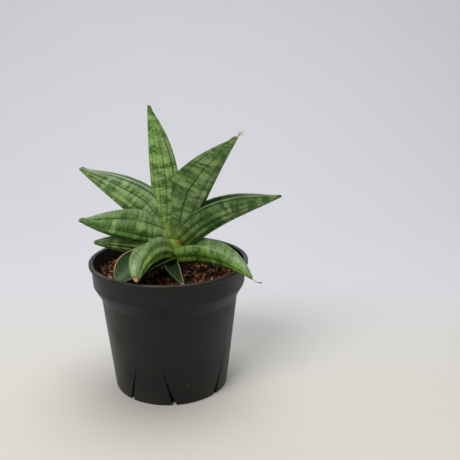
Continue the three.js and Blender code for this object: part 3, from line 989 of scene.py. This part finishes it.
LEAVES = [
    Leaf(
        "leaf_upright", 8.2, 13, 198, (78, 87, 90), 74, 13, 13.6, (4.5, 6),
        wall=4.6, taper=1.9, strips=8, seed=1.3, dry_tip=0.8, young=0.2, painted_shade=0.08,
    ),
    Leaf(
        "leaf_upper_right", 7, 10, 345, (68, 64, 60), 67.5, 14, 20.5, (7.5, 8.6),
        fullest=0.44, taper=1.35, strips=8, seed=2.1, painted_shade=0.34, dry_tip=1.2,
    ),
    Leaf(
        "leaf_upper_left", 6.6, 8, 184, (50, 43, 48), 63, 14, 18.2, (8.5, 7),
        roll=6, taper=1.45, strips=9, seed=3.7, dry_tip=1.0, painted_sheen=1.35, tip=2.1,
    ),
    Leaf(
        "leaf_right", 7, 5, 358, (48, 28, 28), 61.5, 14, 15, (10.5, 13),
        fullest=0.34, taper=1.5, tip=1.4, strips=8, seed=4.4, painted_shade=0.36, dry_tip=1.3,
        tip_color=srgb(58, 50, 40),
    ),
    Leaf(
        "leaf_left", 2, 7.5, 195, (10, 19, 36), 54.5, 14, 17, (12, 11.6),
        roll=16, fullest=0.44, tip=1.8, strips=7, seed=5.2, dry_tip=0.8, painted_sheen=0.4,
    ),
    Leaf(
        "leaf_front_right", 5, -1.5, 328, (16, 0, -25), 46, 14, 11, (11, 9),
        wall=4.4, fullest=0.36, tip=1.5, strips=5, seed=6.8, dry_tip=0.9, inner=0.3, young=0.6, painted_sheen=0.4,
    ),
    Leaf(
        "leaf_front_left", 6, 1, 249, (24, 2, -30), 40, 11, 11.5, (9.5, 9),
        wall=4.4, roll=30, taper=2.4, tip=3, strips=5, seed=7.5, dry_tip=1.2,
        inner=0.2, young=1.0, painted_sheen=0.6,
    ),
    Leaf(
        "leaf_low_left", 6, 1, 182, (12, 10, 22), 41, 11, 9, (8, 6.5),
        wall=3.8, fullest=0.4, taper=1.8, strips=8, seed=8.9, painted_shade=0.1, dry_tip=0.8, tip=2.6,
    ),
    Leaf(
        "leaf_low_front_left", 6, 1, 226, (4, -8, -24), 37, 19, 7, (12, 5),
        wall=3, turn=2, roll=-20, fullest=0.55, taper=2.6, tip=2, strips=10, seed=9.4, painted_shade=0.62,
        margin=0.75, dry_side=1,
    ),
    Leaf(
        "leaf_low_front", 6, -2, 262, (10, -2, -10), 32, 8, 4, (6, 3),
        wall=2.4, turn=44, fullest=0.45, taper=1.8, tip=1.5, strips=6, seed=10.6, painted_shade=1.0,
        margin=0.6, dry_side=-1, rib=0.05,
    ),
    Leaf(
        "leaf_low_back", 6, -1, 98, (22, 6, -6), 40, 13, 9, (9, 6.5),
        wall=4, fullest=0.4, taper=1.8, tip=1.5, strips=9, seed=11.2, painted_shade=0.2,
    ),
]


def leaf_values(leaf, skin):
    """What the leaf tree is given, in metres and radians."""
    heading = math.radians(leaf.heading)
    rise = [math.radians(angle) for angle in leaf.rise]
    start = CROWN + Vector((math.cos(heading), math.sin(heading), 0)) * leaf.out * MM
    start.z = POT_HEIGHT + leaf.above_lip * MM
    return {
        "Start": start,
        "Heading": heading,
        "Turn": math.radians(leaf.turn),
        "Rise at base": rise[0],
        "Rise at middle": rise[1],
        "Rise at tip": rise[2],
        "Length": leaf.length * MM,
        "Breadth": leaf.breadth * MM,
        "Depth": leaf.depth * MM,
        "Wall": leaf.wall * MM,
        "Roll": math.radians(leaf.roll),
        "Neck breadth": leaf.neck[0] * MM,
        "Neck depth": leaf.neck[1] * MM,
        "Fullest": leaf.fullest,
        "Taper": leaf.taper,
        "Tip": leaf.tip * MM,
        "Rib": leaf.rib * MM,
        "Strips": float(leaf.strips),
        "Seed": float(leaf.seed),
        "Skin": skin,
    }


def grow_leaf(leaf, ending, skin):
    """A piece grown by the leaf tree, named after the leaf and the ending."""
    piece = add_mesh(leaf.name + ending, bpy.data.meshes.new(leaf.name))
    growing = piece.modifiers.new("boat leaf", "NODES")
    growing.node_group = leaf_tree
    set_inputs(growing, leaf_values(leaf, skin))
    plain_mesh(piece)
    piece.data.shade_smooth()
    return piece


def box_of(piece):
    corners = [vertex.co for vertex in piece.data.vertices]
    low = Vector(map(min, zip(*corners)))
    high = Vector(map(max, zip(*corners)))
    return low, high


def report_fit(piece, node):
    """Print how far the finished piece stands proud of its CAD solid's box, in millimetres."""
    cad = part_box(node)
    made = box_of(piece)
    proud = max(max(cad[0] - made[0]), max(made[1] - cad[1]))
    print(node, "stands proud by", round(proud / MM, 2), "mm")


for leaf in LEAVES:
    blade = grow_leaf(leaf, "_blade", make_skin(leaf))
    report_fit(blade, leaf.name)
    finish_piece(blade, [leaf.name])

# %% [markdown]
# A dry scale is left of an old leaf at the front of the rosette's heart. It grows from the same
# tree, because it is a leaf in small, but it has a papery skin of its own.

# %% The dry scale
def make_husk():
    material, tree, shader = new_material("dry husk", Specular_IOR_Level=0.2)
    haze = use_group(tree, cloudy_haze, Scale=700.0, Seed=5.0)
    color = blend(tree, haze["Haze"], srgb(124, 84, 42), srgb(164, 118, 64))
    color = blend(tree, 1 - ramp(attribute(tree, "share"), 0.1, 0.6), color, HEART_GREEN)
    feed(tree, shader.inputs["Base Color"], color)
    feed(tree, shader.inputs["Roughness"], 0.7 + haze["Haze"] * 0.15)
    add_bump(tree, shader, haze["Haze"], 0.1 * MM, 0.6)
    return material


dry_scale = Leaf(
    "dry_scale", 8.4, 9.6, 294, (70, 80, 84), 4.6, 3.3, 1.2, (3.0, 1.1),
    wall=0.8, fullest=0.4, taper=1.8, tip=0.8, rib=0.0,
)
finish_piece(grow_leaf(dry_scale, "_husk", make_husk()), ["dry_scale"])

# %% [markdown]
# ## The rootstock
# Under the rosette the plant has a short stem, a thick creeping rhizome and a few roots, all hidden
# in the mix. The CAD solids are joined faceted shapes. A voxel remesh of a copy fuses them, and a
# few rounds of smoothing give them the soft joints that grown wood has.

# %% Rootstock
def make_root_skin():
    material, tree, shader = new_material("root skin", Specular_IOR_Level=0.3)
    place = place_node(tree, "ShaderNodeSeparateXYZ", {0: object_place(tree)})
    height = Wire(tree, place.outputs[2])
    haze = use_group(tree, cloudy_haze, Scale=160.0, Seed=8.0)
    bark = blend(tree, haze["Haze"], srgb(74, 54, 34), srgb(104, 80, 52))
    young = ramp(height, POT_HEIGHT + 4 * MM, POT_HEIGHT + 12 * MM)
    color = blend(tree, young, bark, HEART_GREEN)
    feed(tree, shader.inputs["Base Color"], color)
    feed(tree, shader.inputs["Roughness"], 0.6 + haze["Haze"] * 0.2)
    add_bump(tree, shader, haze["Haze"] + haze["Grain"], 0.2 * MM, 0.5)
    return material


rootstock = add_mesh("rootstock_wood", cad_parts["rootstock"].data.copy())
rootstock.data.materials.clear()
rootstock.data.materials.append(make_root_skin())
fuse = rootstock.modifiers.new("fuse", "REMESH")
fuse.mode = "VOXEL"
fuse.voxel_size = 0.6 * MM
soften = rootstock.modifiers.new("soften", "SMOOTH")
soften.iterations = 8
plain_mesh(rootstock)
rootstock.data.shade_smooth()
finish_piece(rootstock, ["rootstock"])

# %% [markdown]
# ## The potting mix
# The mix is made of baked, reddish granules, one to three millimetres across. A lumpy body fills
# the pot; its near-black colour is painted shade, for the dark gaps between the granules. Thousands
# of granules are scattered on the part of it that shows: its top, and the strips of wall behind the
# slits. Geometry Nodes scatters them, because it keeps them a set distance apart and turns and sizes
# each one at random from a fixed seed.

# %% Body of the mix
MIX_EDGE = POT_HEIGHT - 8.5 * MM
MIX_CROWN = POT_HEIGHT - 5.5 * MM
AIR = 0.35 * MM
GRANULE_SINK = 0.8 * MM  # the body lies this much lower than the tops of the granules
MIX_SIDES = 160
MIX_RINGS = 28


def mix_wall(z):
    return wall_radius(z) - WALL - AIR


def mix_outline():
    bottom = FLOOR_TOP + AIR
    points = [(0, bottom), (mix_wall(bottom), bottom)]
    points += [(mix_wall(z), z) for z in (10 * MM, 20 * MM, STEP_FOOT, COLLAR_FOOT, MIX_EDGE - GRANULE_SINK)]
    for ring in range(1, MIX_RINGS + 1):
        share = ring / MIX_RINGS
        heap = share * share * (3 - 2 * share)
        z = MIX_EDGE + (MIX_CROWN - MIX_EDGE) * heap - GRANULE_SINK
        points.append((mix_wall(MIX_EDGE) * (1 - share), z))
    return points


def make_mix_material(name, dark, middle, light):
    material, tree, shader = new_material(name, Specular_IOR_Level=0.25)
    tone = attribute(tree, "tone")
    haze = use_group(tree, cloudy_haze, Scale=420.0, Seed=6.0)
    color = blend(tree, ramp(tone, 0.25, 0.85), dark, middle)
    color = blend(tree, ramp(tone, 0.85, 0.97) * 0.9, color, light)
    color = blend(tree, haze["Haze"] * 0.5, color, dark)
    feed(tree, shader.inputs["Base Color"], color)
    feed(tree, shader.inputs["Roughness"], 0.75 + haze["Haze"] * 0.2)
    add_bump(tree, shader, haze["Haze"] + haze["Grain"] * 0.5, 0.3 * MM, 0.8)
    return material


# painted shade: the body's near-black colour stands for the shaded gaps between granules
mix_body_material = make_mix_material("shaded mix body", srgb(12, 8, 6), srgb(20, 13, 9), srgb(28, 18, 12))
granule_material = make_mix_material(
    "baked granules", srgb(30, 17, 10), srgb(164, 98, 54), srgb(222, 178, 134)
)
mix = add_mesh("potting_mix_body", spin("mix body", mix_outline(), MIX_SIDES), mix_body_material)
mix.data.shade_smooth()
print("the body of the mix has", len(mix.data.polygons), "faces")

# %% Where granules show
SLIT_VIEW_HEIGHT = 16 * MM  # the slits are wide enough to see through up to here
SLIT_VIEW_HALF = math.radians(9)  # to each side of a slit


def shows_at_slit(middle):
    """True for a spot of the mix's wall that a slit uncovers."""
    heading = math.atan2(middle.y, middle.x)
    nearest = min(abs(math.remainder(heading - slit_heading(i), 2 * math.pi)) for i in range(SLIT_COUNT))
    return middle.z < SLIT_VIEW_HEIGHT and nearest < SLIT_VIEW_HALF


def mark_granule_ground(thing):
    marks = thing.data.attributes.new("ground", "FLOAT", "FACE")
    counts = [0, 0]
    for face in thing.data.polygons:
        on_top = face.normal.z > 0.5
        at_slit = face.center.z > FLOOR_TOP + AIR + 0.1 * MM and not on_top and shows_at_slit(face.center)
        marks.data[face.index].value = 1.0 if on_top else (0.5 if at_slit else 0.0)
        counts[0] += on_top
        counts[1] += at_slit
    print("granules lie on", counts[0], "faces of the top and", counts[1], "behind the slits")


mark_granule_ground(mix)

# %% The granule tree
def make_granule_shape(tree, seed):
    """A rounded lump of 48 triangles."""
    cube = place_node(tree, "GeometryNodeMeshCube", {"Vertices X": 3, "Vertices Y": 3, "Vertices Z": 3})
    here = Wire(tree, tree.nodes.new("GeometryNodeInputPosition").outputs[0])
    ball = place_node(tree, "ShaderNodeVectorMath", {0: here}, operation="NORMALIZE")
    lumps = cloud(tree, here, 1.6, 1.0, seed)
    place = scaled(Wire(tree, ball.outputs[0]), 0.28 + lumps * 0.45)
    inputs = {"Geometry": Wire(tree, cube.outputs[0]), "Position": place}
    moved = place_node(tree, "GeometryNodeSetPosition", inputs)
    return moved.outputs[0]


def random_value(tree, low, high, seed):
    node = place_node(tree, "FunctionNodeRandomValue", data_type="FLOAT")
    for socket in node.inputs:
        if socket.enabled and socket.name in ("Min", "Max", "Seed"):
            socket.default_value = {"Min": low, "Max": high, "Seed": seed}[socket.name]
    return Wire(tree, [socket for socket in node.outputs if socket.enabled][0])


GRANULE_INPUTS = {
    "Ground": SHAPE,
    "Spacing": NUMBER,
    "Smallest": NUMBER,
    "Largest": NUMBER,
    "Lift": NUMBER,
    "Seed": "NodeSocketInt",
    "Granule": "NodeSocketMaterial",
}
GRANULE_SHAPES = 4


def make_granule_tree():
    outputs = {"Granules": SHAPE}
    tree, given, out = new_tree("scattered granules", "GeometryNodeTree", GRANULE_INPUTS, outputs)
    ground = place_node(tree, "GeometryNodeInputNamedAttribute", {"Name": "ground"}, data_type="FLOAT")
    inputs = {"Mesh": given["Ground"], "Distance Min": given["Spacing"], "Seed": given["Seed"]}
    inputs["Density Factor"] = 1 - Wire(tree, ground.outputs[0]).below(0.25)
    spread = place_node(tree, "GeometryNodeDistributePointsOnFaces", distribute_method="POISSON")
    for name, value in inputs.items():
        feed(tree, spread.inputs[name], value)
    spread.inputs["Density Max"].default_value = 900000.0
    at_slit = (Wire(tree, ground.outputs[0]) - 0.5).size().below(0.25)
    lift = scaled(Wire(tree, spread.outputs["Normal"]), given["Lift"] - at_slit * 1.3 * MM)
    raised = place_node(
        tree, "GeometryNodeSetPosition", {"Geometry": Wire(tree, spread.outputs["Points"]), "Offset": lift}
    )
    shapes = tree.nodes.new("GeometryNodeJoinGeometry")
    for seed in range(GRANULE_SHAPES):
        lone = place_node(tree, "GeometryNodeGeometryToInstance")
        tree.links.new(make_granule_shape(tree, seed * 3.1), lone.inputs[0])
        tree.links.new(lone.outputs[0], shapes.inputs[0])
    angle = random_value(tree, 0.0, 2 * math.pi, 11)
    tilt = random_value(tree, 0.0, 2 * math.pi, 12)
    size = between(given["Smallest"], given["Largest"], random_value(tree, 0.0, 1.0, 13))
    placed = place_node(tree, "GeometryNodeInstanceOnPoints", {
        "Points": Wire(tree, raised.outputs[0]),
        "Instance": Wire(tree, shapes.outputs[0]),
        "Scale": vector(tree, size, size * 0.9, size * 0.75),
    })
    placed.inputs["Pick Instance"].default_value = True
    turned = place_node(tree, "FunctionNodeEulerToRotation", {0: vector(tree, tilt, angle, angle * 1.7)})
    tree.links.new(turned.outputs[0], placed.inputs["Rotation"])
    shape = Wire(tree, placed.outputs[0])
    toned = place_node(
        tree,
        "GeometryNodeStoreNamedAttribute",
        {"Geometry": shape, "Name": "tone", "Value": random_value(tree, 0.0, 1.0, 14)},
        data_type="FLOAT",
        domain="INSTANCE",
    )
    real = place_node(tree, "GeometryNodeRealizeInstances", {"Geometry": Wire(tree, toned.outputs[0])})
    inputs = {"Geometry": Wire(tree, real.outputs[0]), "Material": given["Granule"]}
    finished = place_node(tree, "GeometryNodeSetMaterial", inputs)
    tree.links.new(finished.outputs[0], out.inputs[0])
    return tree


granule_tree = make_granule_tree()
print("the granule tree has", len(granule_tree.nodes), "nodes")

# %% Scattering the granules
def scatter(name, spacing, smallest, largest, lift, seed):
    piece = add_mesh(name, mix.data.copy())
    scattering = piece.modifiers.new("granules", "NODES")
    scattering.node_group = granule_tree
    values = {
        "Spacing": spacing * MM,
        "Smallest": smallest * MM,
        "Largest": largest * MM,
        "Lift": lift * MM,
        "Seed": seed,
        "Granule": granule_material,
    }
    set_inputs(scattering, values)
    plain_mesh(piece)
    piece.data.shade_smooth()
    finish_piece(piece, [])


scatter("granules_large", spacing=2.3, smallest=2.0, largest=3.1, lift=0.6, seed=21)
scatter("granules_small", spacing=1.6, smallest=1.1, largest=1.9, lift=0.5, seed=22)
finish_piece(mix, ["potting_mix"])

# %% [markdown]
# ## Dry ends
# Two leaves end in more than a dry point: the tip of one has frayed into pale fibres, and another
# carries a thin bristle, the dried end of its midrib. Both are thin tapering threads, so one
# function sweeps a small ring along a bent line.

# %% Threads
THREAD_SIDES = 8


def add_thread(builder, points, thick, thin):
    """A round thread through the points, tapering from thick to thin and closed at both ends."""
    mark = builder.verts.layers.float.get("along") or builder.verts.layers.float.new("along")
    rings = []
    side = (points[1] - points[0]).orthogonal()
    angles = [2 * math.pi * k / THREAD_SIDES for k in range(THREAD_SIDES)]
    for i, point in enumerate(points):
        way = (points[min(i + 1, len(points) - 1)] - points[max(i - 1, 0)]).normalized()
        side = (side - way * side.dot(way)).normalized()
        other = way.cross(side)
        share = i / (len(points) - 1)
        radius = thick + (thin - thick) * share
        arrows = [side * math.cos(a) + other * math.sin(a) for a in angles]
        ring = [builder.verts.new(point + arrow * radius) for arrow in arrows]
        for corner in ring:
            corner[mark] = share
        rings.append(ring)
    for lower, upper in zip(rings, rings[1:]):
        for k in range(THREAD_SIDES):
            j = (k + 1) % THREAD_SIDES
            builder.faces.new((lower[k], lower[j], upper[j], upper[k]))
    builder.faces.new(rings[0][::-1])
    builder.faces.new(rings[-1])


def bent_line(start, way, bend, length, steps=8):
    """Points from start along way, bending towards bend."""
    return [start + way * length * t + bend * length * t * t for t in (i / steps for i in range(steps + 1))]


def tip_of(name):
    """The end of a leaf, and the way that it points there."""
    data = bpy.data.objects[name + "_blade"].data
    shares = [value.value for value in data.attributes["share"].data]
    end = [v.co for v, share in zip(data.vertices, shares) if share > 0.999]
    before = [v.co for v, share in zip(data.vertices, shares) if 0.93 < share < 0.95]
    middle = sum(end, Vector()) / len(end)
    return middle, (middle - sum(before, Vector()) / len(before)).normalized()


def finish_threads(builder, name, material):
    bmesh.ops.recalc_face_normals(builder, faces=builder.faces)
    mesh = bpy.data.meshes.new(name)
    builder.to_mesh(mesh)
    builder.free()
    mesh.shade_smooth()
    finish_piece(add_mesh(name, mesh, material), [])


def make_fibre_material(name, end_color):
    material, tree, shader = new_material(name, Specular_IOR_Level=0.2)
    haze = use_group(tree, cloudy_haze, Scale=500.0, Seed=9.0)
    color = blend(tree, haze["Haze"], srgb(226, 200, 164), srgb(184, 146, 106))
    color = blend(tree, ramp(attribute(tree, "along"), 0.7, 0.85), color, end_color)
    feed(tree, shader.inputs["Base Color"], color)
    feed(tree, shader.inputs["Roughness"], 0.75 + haze["Haze"] * 0.1)
    add_bump(tree, shader, haze["Haze"], 0.05 * MM, 0.5)
    return material


dry_fibre = make_fibre_material("dry fibre", srgb(214, 184, 146))
dry_bristle = make_fibre_material("dry bristle", srgb(70, 50, 38))
FRAYED = [  # sideways and upward bend, length in mm
    (0.5, 0.6, 3.6),
    (-0.9, 0.9, 2.8),
    (1.3, -0.2, 2.6),
    (-1.4, 0.2, 2.2),
    (0.2, 1.5, 2.4),
    (0.9, 1.1, 3.0),
    (-0.4, -0.8, 2.0),
]
tip, way = tip_of("leaf_upper_right")
frayed = bmesh.new()
for sideways, upward, reach in FRAYED:
    bent = Vector((sideways, 0.2 * sideways, upward)) * 0.5
    add_thread(frayed, bent_line(tip - way * 0.4 * MM, way, bent, reach * MM), 0.28 * MM, 0.08 * MM)
finish_threads(frayed, "frayed_tip", dry_fibre)

tip, way = tip_of("leaf_front_right")
bristle = bmesh.new()
bristle_line = bent_line(tip - way * 0.6 * MM, way, Vector((0.3, 0, 0.38)), 5.6 * MM)
add_thread(bristle, bristle_line, 0.36 * MM, 0.3 * MM)
finish_threads(bristle, "bristle", dry_bristle)
